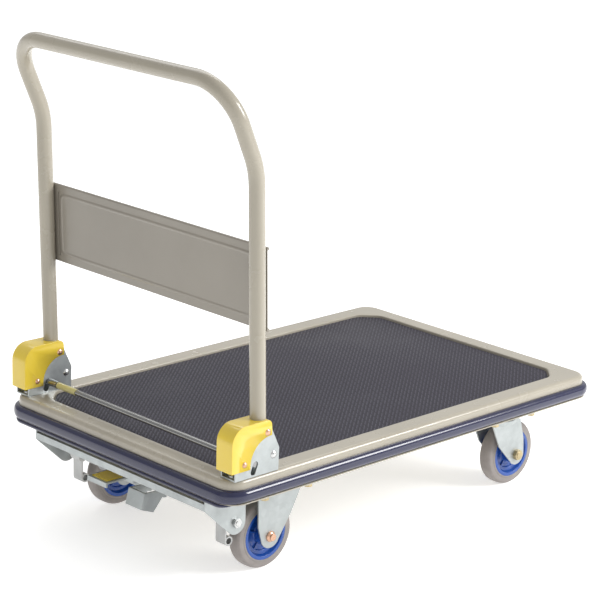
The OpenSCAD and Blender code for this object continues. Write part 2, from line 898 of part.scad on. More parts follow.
// Axle bolt with a domed head on one side and a nut on the other
module axle_bolt(outward) {
    face = fork_gap / 2 + fork_gauge;
    bar_y(axle_d / 2, -face - 8, face + 8);
    rotate([outward > 0 ? -90 : 90, 0, 0]) translate([0, 0, face]) {
        cylinder(r = 9.5, h = 2);
        translate([0, 0, 2]) dome(9.5, 4.5);
        translate([0, 0, 4]) cylinder(r = axle_d / 2, h = 4);
    }
    rotate([outward > 0 ? 90 : -90, 0, 0]) translate([0, 0, face]) hexagon(18, 7);
}

module rigid_axles() {
    color("#c08a5a") in_frame() for (s = [-1, 1])
        translate([rigid_axle_x, s * caster_y, wheel_r]) axle_bolt(s);
}

// Top plate of a swivel caster with the upper ring of its ball race
module swivel_plate() {
    ring_base = race_height + 1.5;
    difference() {
        union() {
            caster_plate();
            translate([0, 0, ring_base]) cylinder(r = race_r + 8, h = caster_under - ring_base);
        }
        translate([0, 0, ring_base - past]) cylinder(r = race_r - 8, h = caster_under - ring_base + past);
        translate([0, 0, caster_under - past])
            cylinder(r = kingpin_r + 0.02, h = plate_gauge + 2 * past);
        translate([0, 0, race_height]) rotate_extrude() translate([race_r, 0])
            circle(ball_r + 0.15);
    }
}

module swivel_plate_left() {
    color("#b9bec0") in_frame() translate([swivel_x, caster_y, 0]) swivel_plate();
}

module swivel_plate_right() {
    color("#b9bec0") in_frame() translate([swivel_x, -caster_y, 0]) swivel_plate();
}

// Turning fork of a swivel caster with the lower ring of its ball race
module swivel_fork() {
    lobe_r = 20;
    ring_top = race_height - 1.5;
    difference() {
        union() {
            translate([0, 0, crown_base]) cylinder(r = race_r + 9, h = ring_top - crown_base);
            fork_legs(trail) {
                translate([trail, wheel_r]) circle(lobe_r);
                polygon([[-30, crown_base + 3], [-36, crown_base], [-16, 86], [trail - 16, wheel_r - 12],
                         [trail + 16, wheel_r - 12], [trail + 20, wheel_r], [trail + 18, 90],
                         [40, crown_base], [30, crown_base + 3]]);
            }
        }
        translate([0, 0, crown_base + 4]) cylinder(r = race_r - 8, h = race_height);
        translate([0, 0, crown_base - past]) cylinder(r = kingpin_r + running, h = race_height);
        translate([0, 0, race_height]) rotate_extrude() translate([race_r, 0])
            circle(ball_r + 0.02);
    }
}

module swivel_fork_left() {
    color("#b9bec0") in_frame() translate([swivel_x, caster_y, 0]) swivel_fork();
}

module swivel_fork_right() {
    color("#b9bec0") in_frame() translate([swivel_x, -caster_y, 0]) swivel_fork();
}

module swivel_balls() {
    for (i = [0 : ball_count - 1]) rotate([0, 0, i * 360 / ball_count])
        translate([race_r, 0, race_height]) sphere(ball_r);
}

module swivel_balls_left() {
    color("#d0d3d6") in_frame() translate([swivel_x, caster_y, 0]) swivel_balls();
}

module swivel_balls_right() {
    color("#d0d3d6") in_frame() translate([swivel_x, -caster_y, 0]) swivel_balls();
}

// Kingpins: a wide head under each crown and a nut above the plate
module kingpins() {
    head_h = 3.5;
    color("#c9ccd0") in_frame() for (s = [-1, 1]) translate([swivel_x, s * caster_y, 0]) {
        translate([0, 0, crown_base - 0.1 - head_h]) cylinder(r = 12, h = head_h);
        translate([0, 0, crown_base - 1]) cylinder(r = kingpin_r, h = caster_height + 9 - crown_base);
        translate([0, 0, caster_height]) hexagon(19, 7);
    }
}

module swivel_axle_left() {
    color("#c9a24a") in_frame() translate([swivel_axle_x, caster_y, wheel_r]) axle_bolt(-1);
}

module swivel_axle_right() {
    color("#c9a24a") in_frame() translate([swivel_axle_x, -caster_y, wheel_r]) axle_bolt(1);
}

// ---------------------------------------------------------------- wheels

module tyre() {
    shoulder = 6;
    inner = hub_d / 2 + 0.02;
    half = tyre_width / 2;
    rotate([90, 0, 0]) rotate_extrude() {
        translate([inner, -half + 1]) square([wheel_r - shoulder - inner, tyre_width - 2]);
        translate([wheel_r - shoulder, shoulder - half])
            square([shoulder, tyre_width - 2 * shoulder]);
        for (y = [shoulder - half, half - shoulder]) intersection() {
            translate([wheel_r - shoulder, y]) circle(shoulder);
            translate([wheel_r - shoulder, y - shoulder]) square([shoulder, 2 * shoulder]);
        }
    }
}

// Wheel centre: rim, dished web with low stiffening ribs, and boss
module hub() {
    rim = 5;
    web = 8;
    boss_r = bearing_r + 5;
    ribs = 5;
    rib_gauge = 3;
    rib_depth = 15;
    rotate([90, 0, 0]) {
        rotate_extrude() {
            translate([hub_d / 2 - rim, -tyre_width / 2]) square([rim, tyre_width]);
            translate([boss_r - 1, -web / 2]) square([hub_d / 2 - rim - boss_r + 2, web]);
            translate([bearing_r, -bearing_width / 2]) square([boss_r - bearing_r, bearing_width]);
        }
        for (i = [0 : ribs - 1]) rotate([0, 0, i * 360 / ribs])
            translate([boss_r - 1, -rib_gauge / 2, -rib_depth / 2])
                cube([hub_d / 2 - rim - boss_r + 2, rib_gauge, rib_depth]);
    }
}

// Bearing sleeve that turns with the wheel on its axle
module bearing() {
    rotate([90, 0, 0]) translate([0, 0, -bearing_width / 2]) difference() {
        cylinder(r = bearing_r - 0.02, h = bearing_width);
        translate([0, 0, -past]) cylinder(r = axle_d / 2 + running, h = bearing_width + 2 * past);
    }
}

// Puts a wheel part at one of the four axles
module at_wheel(x, s) {
    in_frame() translate([x, s * caster_y, wheel_r]) children();
}

module tyre_rigid_left() { color("#8d8a86") at_wheel(rigid_axle_x, 1) tyre(); }
module tyre_rigid_right() { color("#8d8a86") at_wheel(rigid_axle_x, -1) tyre(); }
module tyre_swivel_left() { color("#8d8a86") at_wheel(swivel_axle_x, 1) tyre(); }
module tyre_swivel_right() { color("#8d8a86") at_wheel(swivel_axle_x, -1) tyre(); }
module hub_rigid_left() { color("#2f62b5") at_wheel(rigid_axle_x, 1) hub(); }
module hub_rigid_right() { color("#2f62b5") at_wheel(rigid_axle_x, -1) hub(); }
module hub_swivel_left() { color("#2f62b5") at_wheel(swivel_axle_x, 1) hub(); }
module hub_swivel_right() { color("#2f62b5") at_wheel(swivel_axle_x, -1) hub(); }
module bearing_rigid_left() { color("#d0d3d6") at_wheel(rigid_axle_x, 1) bearing(); }
module bearing_rigid_right() { color("#d0d3d6") at_wheel(rigid_axle_x, -1) bearing(); }
module bearing_swivel_left() { color("#d0d3d6") at_wheel(swivel_axle_x, 1) bearing(); }
module bearing_swivel_right() { color("#d0d3d6") at_wheel(swivel_axle_x, -1) bearing(); }

// ---------------------------------------------------------------- caster fasteners

// Puts its children at the middle of each caster plate
module at_casters() {
    for (x = [-rigid_x, swivel_x], s = [-1, 1]) translate([x, s * caster_y, 0]) children();
}

module caster_bolts() {
    color("#c9a24a") in_frame() at_casters() caster_hole_spots() {
        translate([0, 0, caster_under - 5.5]) hexagon(13, 5.5);
        translate([0, 0, caster_under - past]) cylinder(r = 4, h = plate_gauge + member_gauge + past + 9);
    }
}

module caster_nuts() {
    nut_h = 6.5;
    color("#c9a24a") in_frame() at_casters()
        translate([0, 0, caster_height + member_gauge]) caster_hole_spots() difference() {
            hexagon(13, nut_h);
            translate([0, 0, -past]) cylinder(r = 4.02, h = nut_h + 2 * past);
        }
}

deck_pan();
deck_mat();
edge_bumper();
cross_member_handle_end();
cross_member_far_end();
deck_stiffeners();
handle_bracket_left();
handle_bracket_right();
bracket_cover_left();
bracket_cover_right();
cover_rivets();
bracket_bolts();
bracket_nuts();
pivot_pins();
handle_tube();
handle_panel();
handle_feet();
pivot_bushes();
release_rod();
rod_sleeve();
rod_springs();
brake_bracket_left();
brake_bracket_right();
brake_cross_channel();
brake_shaft();
brake_shoe_left();
brake_shoe_right();
brake_pedal();
release_pedal();
pedal_pad();
shaft_nuts();
brake_spring();
rigid_fork_left();
rigid_fork_right();
rigid_axles();
swivel_plate_left();
swivel_plate_right();
swivel_fork_left();
swivel_fork_right();
swivel_balls_left();
swivel_balls_right();
kingpins();
swivel_axle_left();
swivel_axle_right();
tyre_rigid_left();
tyre_rigid_right();
tyre_swivel_left();
tyre_swivel_right();
hub_rigid_left();
hub_rigid_right();
hub_swivel_left();
hub_swivel_right();
bearing_rigid_left();
bearing_rigid_right();
bearing_swivel_left();
bearing_swivel_right();
caster_bolts();
caster_nuts();
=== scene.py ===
"""Looks of the folding platform cart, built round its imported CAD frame."""

import json
import math

import bmesh
import bpy
from mathutils import Matrix, Vector


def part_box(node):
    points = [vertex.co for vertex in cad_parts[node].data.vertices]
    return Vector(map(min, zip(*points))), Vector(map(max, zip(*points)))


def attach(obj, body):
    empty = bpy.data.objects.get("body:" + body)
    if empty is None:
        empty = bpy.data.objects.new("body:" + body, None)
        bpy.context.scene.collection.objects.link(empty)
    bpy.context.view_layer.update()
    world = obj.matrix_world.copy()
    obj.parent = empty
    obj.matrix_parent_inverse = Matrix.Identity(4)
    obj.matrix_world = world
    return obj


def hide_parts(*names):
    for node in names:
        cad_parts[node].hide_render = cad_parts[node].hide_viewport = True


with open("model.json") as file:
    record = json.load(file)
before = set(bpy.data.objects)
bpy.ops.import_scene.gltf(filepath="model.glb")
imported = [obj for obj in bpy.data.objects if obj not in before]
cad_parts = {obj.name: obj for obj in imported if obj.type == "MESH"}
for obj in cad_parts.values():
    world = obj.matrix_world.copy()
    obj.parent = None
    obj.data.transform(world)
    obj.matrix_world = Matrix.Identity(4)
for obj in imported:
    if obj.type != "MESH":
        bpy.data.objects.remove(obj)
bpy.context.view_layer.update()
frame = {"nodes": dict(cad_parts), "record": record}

NODES = frame["nodes"]

# ------------------------------------------------------------------ places from the CAD
mat_lo, mat_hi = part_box("deck_mat")
X0 = (mat_lo.x + mat_hi.x) / 2
MAT_TOP = mat_hi.z
tyre_lo, tyre_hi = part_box("tyre_rigid_left")
WHEEL_R = (tyre_hi.z - tyre_lo.z) / 2
TYRE_W = tyre_hi.y - tyre_lo.y
HALF_L, HALF_W = 0.450, 0.294
RIM = 0.217
PIVOT = Vector((X0 - 0.356, 0, 0.246))
LEAN, KINK = math.radians(1.8), math.radians(21.8776)
SETBACK, LEG_L, LEG_Y = 0.019, 0.478, 0.275
TUBE_R, KINK_R, GRIP_L, CORNER_R = 0.0136, 0.140191, 0.1574, 0.0745
KINK_T = KINK_R * math.tan(KINK / 2)
HANDLE = Matrix.Translation(PIVOT) @ Matrix.Rotation(-LEAN, 4, "Y")
UPPER = HANDLE @ Matrix.Translation((-SETBACK, 0, LEG_L)) @ Matrix.Rotation(-KINK, 4, "Y")


# ------------------------------------------------------------------ materials
class Net:
    """A material with a Principled shader and short helpers for its node tree."""

    def __init__(self, name, base, rough, metallic=0.0, **sockets):
        self.mat = bpy.data.materials.new(name)
        self.mat.use_nodes = True
        self.mat.diffuse_color = (*base, 1)
        self.tree = self.mat.node_tree
        self.tree.nodes.clear()
        self.out = self.tree.nodes.new("ShaderNodeOutputMaterial")
        self.bsdf = self.tree.nodes.new("ShaderNodeBsdfPrincipled")
        self.link(self.bsdf.outputs[0], self.out.inputs[0])
        self.base = base
        self.bsdf.inputs["Base Color"].default_value = (*base, 1)
        self.bsdf.inputs["Roughness"].default_value = rough
        self.bsdf.inputs["Metallic"].default_value = metallic
        for key, value in sockets.items():
            self.bsdf.inputs[key.replace("_", " ")].default_value = value
        self.place = self.tree.nodes.new("ShaderNodeTexCoord").outputs["Object"]
        self.normal = None

    def link(self, a, b):
        self.tree.links.new(a, b)

    def node(self, kind, settings=None, **inputs):
        n = self.tree.nodes.new(kind)
        for key, value in (settings or {}).items():
            setattr(n, key, value)
        for key, value in inputs.items():
            socket = n.inputs[int(key[1:])] if key[0] == "i" and key[1:].isdigit() else n.inputs[key]
            if isinstance(value, bpy.types.NodeSocket):
                self.link(value, socket)
            else:
                socket.default_value = value
        return n

    def maths(self, operation, a, b=0.0, c=0.0):
        return self.node("ShaderNodeMath", {"operation": operation}, i0=a, i1=b, i2=c).outputs[0]

    def noise(self, scale, detail=3.0, rough=0.5, stretch=None):
        vector = self.place
        if stretch:
            vector = self.node("ShaderNodeMapping", None, i0=self.place, Scale=stretch).outputs[0]
        return self.node("ShaderNodeTexNoise", None, Vector=vector, Scale=scale, Detail=detail,
                         Roughness=rough).outputs["Fac"]

    def ramp(self, value, low, high, out_low=0.0, out_high=1.0):
        n = self.node("ShaderNodeMapRange", {"clamp": True}, i0=value)
        for i, v in enumerate((low, high, out_low, out_high)):
            n.inputs[i + 1].default_value = v
        return n.outputs[0]

    def blend(self, factor, a, b):
        n = self.node("ShaderNodeMix", {"data_type": "RGBA"})
        self.link(factor, n.inputs[0])
        for socket, value in ((n.inputs[6], a), (n.inputs[7], b)):
            if isinstance(value, bpy.types.NodeSocket):
                self.link(value, socket)
            else:
                socket.default_value = (*value, 1)
        return n.outputs[2]

    def colour(self, socket):
        self.link(socket, self.bsdf.inputs["Base Color"])

    def roughness(self, value, low, high):
        self.link(self.ramp(value, 0.3, 0.7, low, high), self.bsdf.inputs["Roughness"])

    def bevel(self, radius):
        self.normal = self.node("ShaderNodeBevel", {"samples": 4}, Radius=radius).outputs[0]

    def bump(self, height, strength, distance):
        n = self.node("ShaderNodeBump", None, Height=height, Strength=strength, Distance=distance)
        if self.normal:
            self.link(self.normal, n.inputs["Normal"])
        self.normal = n.outputs[0]

    def edges(self, radius, low, high):
        """1 along outer edges, from how far a rounded normal turns from the real one; used for worn edges and
        a painted edge highlight.
        """
        soft = self.node("ShaderNodeBevel", {"samples": 4}, Radius=radius).outputs[0]
        real = self.node("ShaderNodeNewGeometry").outputs["Normal"]
        dot = self.node("ShaderNodeVectorMath", {"operation": "DOT_PRODUCT"}, i0=soft, i1=real)
        return self.ramp(dot.outputs["Value"], high, low)

    def done(self):
        if self.normal:
            self.link(self.normal, self.bsdf.inputs["Normal"])
        return self.mat


def shade(colour, factor):
    return tuple(min(1.0, c * factor) for c in colour)


def paint(name, base, rough=0.3, coat=0.35, rounding=0.0):
    """Gloss powder coat: faint orange peel, cloudy gloss and slightly drifted colour."""
    m = Net(name, base, rough, Coat_Weight=coat, Coat_Roughness=0.12)
    cloud = m.noise(5.0, 4.0)
    fine = m.noise(160.0, 2.0)
    tone = m.blend(m.ramp(cloud, 0.35, 0.7), shade(base, 0.94), shade(base, 1.05))
    m.colour(tone)
    m.roughness(m.noise(14.0, 5.0), rough - 0.05, rough + 0.08)
    if rounding:
        m.bevel(rounding)
    m.bump(fine, 0.03, 0.0003)
    m.bump(m.noise(420.0, 1.0), 0.08, 0.00012)
    return m.done()


def plated(name, base, rough, metallic=0.92, spangle=0.0, grain=0.10, radius=0.0006):
    """Plated steel: patchy plating, fine rolling grain, small scratches and edges lightened, partly as wear
    and partly as a painted highlight.
    """
    m = Net(name, base, rough, metallic)
    cloud = m.noise(16.0, 5.0, 0.6)
    tone = m.blend(m.ramp(cloud, 0.3, 0.7), shade(base, 0.86), shade(base, 1.10))
    if spangle:
        cells = m.node("ShaderNodeTexVoronoi", {"feature": "F1"}, Vector=m.place, Scale=95.0)
        grey = m.node("ShaderNodeRGBToBW", None, i0=cells.outputs["Color"]).outputs[0]
        tone = m.blend(m.ramp(grey, 0.1, 0.9, 0.0, spangle), tone, shade(base, 0.66))
    scratch = m.ramp(m.noise(60.0, 6.0, 0.7, (9.0, 1.0, 3.0)), 0.63, 0.70)
    tone = m.blend(m.maths("MULTIPLY", scratch, 0.25), tone, shade(base, 1.3))
    # painted highlight: outer edges lightened in colour, partly edge wear and partly a painted edge highlight
    wear_and_edge_highlight = m.edges(0.0008, 0.75, 0.97)
    m.colour(m.blend(m.maths("MULTIPLY", wear_and_edge_highlight, 0.45), tone, shade(base, 1.35)))
    m.roughness(m.noise(40.0, 4.0), rough - 0.07, rough + 0.12)
    m.bevel(radius)
    m.bump(m.noise(300.0, 3.0, 0.6, (0.35, 2.0, 2.0)), grain, 0.0003)
    return m.done()


def moulding(name, base, rough, coat=0.2, grain=0.12, radius=0.0009, specular=0.5, scuffed=0.12):
    """Moulded plastic: gloss skin with fine pits, drifted colour and small scuffs."""
    m = Net(name, base, rough, Coat_Weight=coat, Coat_Roughness=0.1, Specular_IOR_Level=specular)
    tone = m.blend(m.ramp(m.noise(9.0, 4.0), 0.35, 0.7), shade(base, 0.96), shade(base, 1.04))
    scuff = m.ramp(m.noise(70.0, 6.0, 0.75, (4.0, 1.0, 1.5)), 0.66, 0.74)
    m.colour(m.blend(m.maths("MULTIPLY", scuff, scuffed), tone, tuple(0.8 * c + 0.03 for c in base)))
    m.roughness(m.noise(24.0, 5.0), rough - 0.03, rough + 0.06)
    m.bevel(radius)
    m.bump(m.noise(520.0, 2.0), grain, 0.0002)
    return m.done()


def ribbed_mat(name, base):
    """Rubber mat with interrupted diagonal ribs, painted shade in the grooves and lighter rib tops, dusty in
    the grooves.
    """
    m = Net(name, base, 0.55, Specular_IOR_Level=0.25)
    along, pitch, step = math.radians(40), 0.0063, 0.0110

    def wave(angle, length, phase=0.0):
        axis = (math.cos(angle) / length, math.sin(angle) / length, 0.0)
        dot = m.node("ShaderNodeVectorMath", {"operation": "DOT_PRODUCT"}, i0=m.place, i1=axis)
        turns = m.maths("MULTIPLY_ADD", dot.outputs["Value"], 2 * math.pi, phase)
        return m.maths("SINE", turns)

    ribs = m.ramp(wave(along + math.pi / 2, pitch), -0.25, 0.75)
    cross = m.ramp(wave(along - math.radians(62), step), -0.95, -0.35)
    height = m.maths("MULTIPLY", ribs, m.ramp(cross, 0.0, 1.0, 0.35, 1.0))
    cloud = m.noise(4.0, 5.0, 0.6)
    dust = m.maths("MULTIPLY", m.ramp(cloud, 0.42, 0.72), m.ramp(height, 0.0, 0.6, 1.0, 0.25))
    # painted shade: grooves darkened and rib tops lightened by rib height, standing in for light and shade on
    # the ribs
    tone = m.blend(height, shade(base, 0.62), shade(base, 1.18))
    m.colour(m.blend(m.maths("MULTIPLY", dust, 0.12), tone, (0.20, 0.19, 0.20)))
    m.roughness(m.maths("ADD", m.maths("MULTIPLY", height, -0.25), m.maths("ADD", cloud, 0.1)), 0.40, 0.66)
    m.bump(height, 0.9, 0.0009)
    m.bump(m.noise(900.0, 2.0), 0.15, 0.0001)
    return m.done()


def tyre_rubber(name, base):
    """Elastic rubber: matt bloom, dust on the tread and faint moulding rings."""
    m = Net(name, base, 0.62, Specular_IOR_Level=0.35)
    tone = m.blend(m.ramp(m.noise(22.0, 5.0, 0.6), 0.35, 0.7), shade(base, 0.86), shade(base, 1.12))
    specks = m.ramp(m.noise(260.0, 4.0, 0.7), 0.60, 0.72)
    m.colour(m.blend(m.maths("MULTIPLY", specks, 0.35), tone, shade(base, 0.55)))
    m.roughness(m.noise(60.0, 5.0), 0.52, 0.74)
    m.bump(m.noise(700.0, 3.0), 0.25, 0.00025)
    m.bump(m.noise(90.0, 3.0), 0.10, 0.0006)
    return m.done()


M = {
    "cream_paint": paint("Cream_Paint", (0.390, 0.356, 0.286), 0.24),
    "panel_paint": paint("Panel_Paint", (0.270, 0.245, 0.205), 0.32),
    "frame_paint": paint("Frame_Paint", (0.400, 0.364, 0.292), 0.36, 0.15, 0.0009),
    "mat_rubber": ribbed_mat("Mat_Rubber", (0.040, 0.037, 0.054)),
    "navy_bumper": moulding("Navy_Bumper", (0.008, 0.010, 0.050), 0.18, 0.5, 0.03, scuffed=0.0),
    "yellow_plastic": moulding("Yellow_Plastic", (0.760, 0.560, 0.050), 0.20, 0.5, 0.03, scuffed=0.04),
    "zinc_plate": plated("Zinc_Plate", (0.470, 0.500, 0.500), 0.40, 0.80, 0.24),
    "bright_zinc": plated("Bright_Zinc", (0.620, 0.625, 0.620), 0.22, 0.97),
    "yellow_zinc": plated("Yellow_Zinc", (0.520, 0.430, 0.260), 0.30, 0.95),
    "copper_rivet": plated("Copper_Rivet", (0.700, 0.430, 0.300), 0.28, 0.95),
    "raw_steel": plated("Raw_Steel", (0.460, 0.465, 0.460), 0.40, 0.90, 0.0, 0.18),
    "bronze": plated("Bronze", (0.500, 0.350, 0.160), 0.40, 0.95),
    "spring_steel": plated("Spring_Steel", (0.330, 0.335, 0.340), 0.34, 0.95),
    "grey_tyre": tyre_rubber("Grey_Tyre", (0.300, 0.272, 0.258)),
    "blue_hub": moulding("Blue_Hub", (0.010, 0.070, 0.340), 0.26, 0.25, 0.06),
}
PALE_SLEEVE = moulding("Pale_Sleeve", (0.520, 0.470, 0.200), 0.30, 0.3, 0.04)
ROD_STEEL = plated("Rod_Steel", (0.300, 0.300, 0.295), 0.16, 0.97)
SLOT_OF = {s["node"]: s["material_slot"] for s in frame["record"]["subparts"]}
for node_name, node_object in NODES.items():
    node_object.data.materials.clear()
    finish = {"release_rod": ROD_STEEL, "rod_sleeve": PALE_SLEEVE}.get(node_name, M[SLOT_OF[node_name]])
    node_object.data.materials.append(finish)


# ------------------------------------------------------------------ mesh helpers
def piece(name, verts, faces, slot, body, stands_for=(), sharp=35.0):
    mesh = bpy.data.meshes.new(name)
    mesh.from_pydata([tuple(v) for v in verts], [], faces)
    bm = bmesh.new()
    bm.from_mesh(mesh)
    bmesh.ops.remove_doubles(bm, verts=bm.verts, dist=1e-6)
    bmesh.ops.recalc_face_normals(bm, faces=bm.faces)
    bm.to_mesh(mesh)
    bm.free()
    finish_mesh(mesh, sharp)
    return put(name, mesh, slot, body, stands_for)


def finish_mesh(mesh, sharp):
    mesh.polygons.foreach_set("use_smooth", [True] * len(mesh.polygons))
    mesh.set_sharp_from_angle(angle=math.radians(sharp))
    mesh.update()


def put(name, mesh, slot, body, stands_for=()):
    obj = bpy.data.objects.new(name, mesh)
    bpy.context.scene.collection.objects.link(obj)
    mesh.materials.clear()
    mesh.materials.append(M[slot])
    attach(obj, body)
    if stands_for:
        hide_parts(*stands_for)
    return obj


def loft(rings, closed_path=False, cap=False):
    """Skins rings of equal length; every ring is a closed loop."""
    count = len(rings[0])
    verts = [p for ring in rings for p in ring]
    faces = []
    last = len(rings) if closed_path else len(rings) - 1
    for i in range(last):
        a, b = i * count, ((i + 1) % len(rings)) * count
        for k in range(count):
            n = (k + 1) % count
            faces.append((a + k, a + n, b + n, b + k))
    if cap:
        faces.append(tuple(range(count)))
        faces.append(tuple(range((len(rings) - 1) * count, len(rings) * count)))
    return verts, faces


def tube(points, radius, sides=32, cap=True):
    """Round tube along points, without twist. radius may be one number or one per point."""
    radii = radius if isinstance(radius, (list, tuple)) else [radius] * len(points)
    tangents = []
    for i in range(len(points)):
        a, b = points[max(i - 1, 0)], points[min(i + 1, len(points) - 1)]
        tangents.append((b - a).normalized())
    side = tangents[0].orthogonal().normalized()
    rings = []
    for i, (p, t) in enumerate(zip(points, tangents)):
        side = (side - t * side.dot(t)).normalized()
        other = t.cross(side)
        rings.append([p + (side * math.cos(a) + other * math.sin(a)) * radii[i]
                      for a in (2 * math.pi * k / sides for k in range(sides))])
    return loft(rings, cap=cap)


def join(*parts):
    verts, faces = [], []
    for v, f in parts:
        base = len(verts)
        verts += v
        faces += [tuple(i + base for i in face) for face in f]
    return verts, faces


def lathe(profile, centre, steps=96, closed=True):
    """Turns (radius, y) points about the Y axis through centre."""
    rings = []
    for k in range(steps):
        a = 2 * math.pi * k / steps
        rings.append([centre + Vector((r * math.cos(a), y, r * math.sin(a))) for r, y in profile])
    verts, faces = loft(rings, closed_path=True)
    if not closed:
        n = len(profile)
        faces = [f for i, f in enumerate(faces) if i % n != n - 1]
    return verts, faces


def arc(cx, cy, r, a0, a1, steps):
    return [(cx + r * math.cos(math.radians(a0 + (a1 - a0) * k / steps)),
             cy + r * math.sin(math.radians(a0 + (a1 - a0) * k / steps))) for k in range(steps + 1)]


def mirrored(points):
    return [Vector((p[0], -p[1], p[2])) for p in points]


# ------------------------------------------------------------------ deck
CORNER_STEPS = 12


def round_loop(half_l, half_w, radius, z):
    """Rounded rectangle about the deck's middle, counter-clockwise from the +X +Y corner."""
    out = []
    for qx, qy, start in ((1, 1, 0), (-1, 1, 90), (-1, -1, 180), (1, -1, 270)):
        cx, cy = qx * (half_l - radius), qy * (half_w - radius)
        for x, y in arc(cx, cy, radius, start, start + 90, CORNER_STEPS):
            out.append(Vector((X0 + x, y, z)))
    return out


def cut_loop(half_l, half_w, leg, z, soft=0.012):
    """Rectangle with corners cut at 45 degrees, whose eight vertices are softly rounded."""
    out = []
    for qx, qy, turn in ((1, 1, False), (-1, 1, True), (-1, -1, False), (1, -1, True)):
        a = Vector((half_l * qx, (half_w - leg) * qy))
        b = Vector(((half_l - leg) * qx, half_w * qy))
        a_out, b_out = Vector((0, -qy)), Vector((-qx, 0))
        row = []
        half = CORNER_STEPS // 2
        mid = (a + b) / 2
        for k in range(half + 1):
            t = k / half
            p = (a + a_out * soft) * (1 - t) ** 2 + a * 2 * t * (1 - t) + (a * 0.45 + mid * 0.55) * t ** 2
            row.append(p)
        for k in range(half + 1):
            t = k / half
            p = (b * 0.45 + mid * 0.55) * (1 - t) ** 2 + b * 2 * t * (1 - t) + (b + b_out * soft) * t ** 2
            row.append(p)
        row = row[:half] + row[half + 1:]
        if turn:
            row.reverse()
        out += [Vector((X0 + p.x, p.y, z)) for p in row]
    return out


def outline(u, z):
    """The pan's outline, moved outwards by u."""
    return round_loop(HALF_L + u, HALF_W + u, 0.032 + u, z)


def recess(u, z):
    """The recess's outline, moved outwards by u."""
    return cut_loop(0.4135 + u, 0.2555 + u, 0.034 + u * 0.586, z)


def build_pan():
    bend = 0.008
    rings = [outline(0.0046, 0.1760), outline(0.0050, 0.1764), outline(0.0050, 0.1776),
             outline(0.0046, 0.1780), outline(0.0012, 0.1780), outline(0.0003, 0.1784),
             outline(0.0, 0.1794), outline(0.0, 0.2060)]
    for a in range(0, 91, 10):
        c, s = math.cos(math.radians(a)), math.sin(math.radians(a))
        rings.append(outline(-bend + bend * c, RIM - bend + bend * s))
    rings.append(outline(-0.0115, RIM))
    roll = 0.0030
    rings.append(recess(roll + 0.002, RIM))
    for a in range(0, 91, 15):
        c, s = math.cos(math.radians(a)), math.sin(math.radians(a))
        rings.append(recess(roll - roll * s, RIM - roll + roll * c))
    rings.append(recess(0.0, 0.2112))
    rings.append(recess(-0.0004, 0.2104))
    rings.append(recess(-0.0012, 0.2100))
    under = [recess(0.0008, 0.2080), recess(0.0020, 0.2092), recess(0.0022, 0.2130),
             recess(0.0050, 0.2150), outline(-0.0115, 0.2150)]
    for a in range(90, -1, -15):
        c, s = math.cos(math.radians(a)), math.sin(math.radians(a))
        under.append(outline(-bend + 0.006 * c, RIM - bend + 0.006 * s))
    under += [outline(-0.002, 0.2060), outline(-0.002, 0.1764), outline(-0.0016, 0.1760)]
    verts, faces = loft(rings + [recess(-0.0030, 0.2100)])
    tray = tuple(range(len(verts) - len(rings[0]), len(verts)))
    lower = loft([recess(-0.0030, 0.2080)] + under + [rings[0]])
    verts, faces = join((verts, faces + [tray]), (lower[0], lower[1] + [tuple(range(len(rings[0])))]))
    pan = piece("deck_pan_pressed", verts, faces, "cream_paint", "deck", ["deck_pan"], 40)
    return pan


def build_mat():
    rings = [recess(-0.0018, MAT_TOP - 0.0024), recess(-0.0016, MAT_TOP - 0.0009),
             recess(-0.0019, MAT_TOP - 0.0003), recess(-0.0026, MAT_TOP)]
    rings = [[Vector((p.x, p.y, p.z)) for p in r] for r in rings]
    n = len(rings[0])
    verts, faces = loft(rings)
    faces += [tuple(range(n)), tuple(range(len(verts) - n, len(verts)))]
    piece("ribbed_mat", verts, faces, "mat_rubber", "deck", ["deck_mat"], 40)


def bead_points(reach, low, high, steps, fullness):
    """Half-round bead from its top to its bottom as (u, z)."""
    mid, half = (low + high) / 2, (high - low) / 2
    out = []
    for k in range(steps + 1):
        a = math.pi * k / steps
        c, s = math.cos(a), math.sin(a)
        out.append((reach * abs(s) ** fullness, mid + half * math.copysign(abs(c) ** 0.92, c)))
    return out


def bumper_profile(blend):
    """Closed profile; blend 0 on the sides and the far end, 1 at the handle end."""
    back = 0.0001
    top = 0.2010
    side = bead_points(0.0099, 0.1795, top, 22, 0.72)
    end = bead_points(0.0099, 0.1762, top, 22, 0.72)
    upper = [(a[0] * (1 - blend) + b[0] * blend, a[1] * (1 - blend) + b[1] * blend)
             for a, b in zip(side, end)]
    lip_low = 0.1796 * (1 - blend) + 0.1692 * blend
    lip_top = 0.1799 * (1 - blend) + 0.1774 * blend
    lower = bead_points(0.0012 * (1 - blend) + 0.0075 * blend, lip_low, lip_top, 12, 0.7)
    lower = [(max(u, back), z) for u, z in lower]
    tail = [(back, lip_low), (back, lip_low + 0.0002)]
    if blend > 0:
        tail = [(back, lip_low), (back, 0.1758 * blend + (lip_low + 0.0002) * (1 - blend))]
    pts = [(max(u, back), z) for u, z in upper] + lower[1:] + tail
    return pts


def build_bumper():
    rings = []

    def station(x, y, nx, ny, blend):
        rings.append([Vector((X0 + x + nx * u, y + ny * u, z)) for u, z in bumper_profile(blend)])

    r = 0.032
    steps = 16
    for qx, qy, start in ((1, 1, 0), (-1, 1, 90), (-1, -1, 180), (1, -1, 270)):
        cx, cy = qx * (HALF_L - r), qy * (HALF_W - r)
        for k in range(steps + 1):
            a = math.radians(start + 90 * k / steps)
            t = k / steps
            ease = t * t * (3 - 2 * t)
            blend = 0.0
            if qx < 0:
                blend = ease if qy > 0 else 1 - ease
            station(cx + r * math.cos(a), cy + r * math.sin(a), math.cos(a), math.sin(a), blend)
    verts, faces = loft(rings, closed_path=True)
    piece("edge_bumper_strip", verts, faces, "navy_bumper", "deck", ["edge_bumper"], 50)


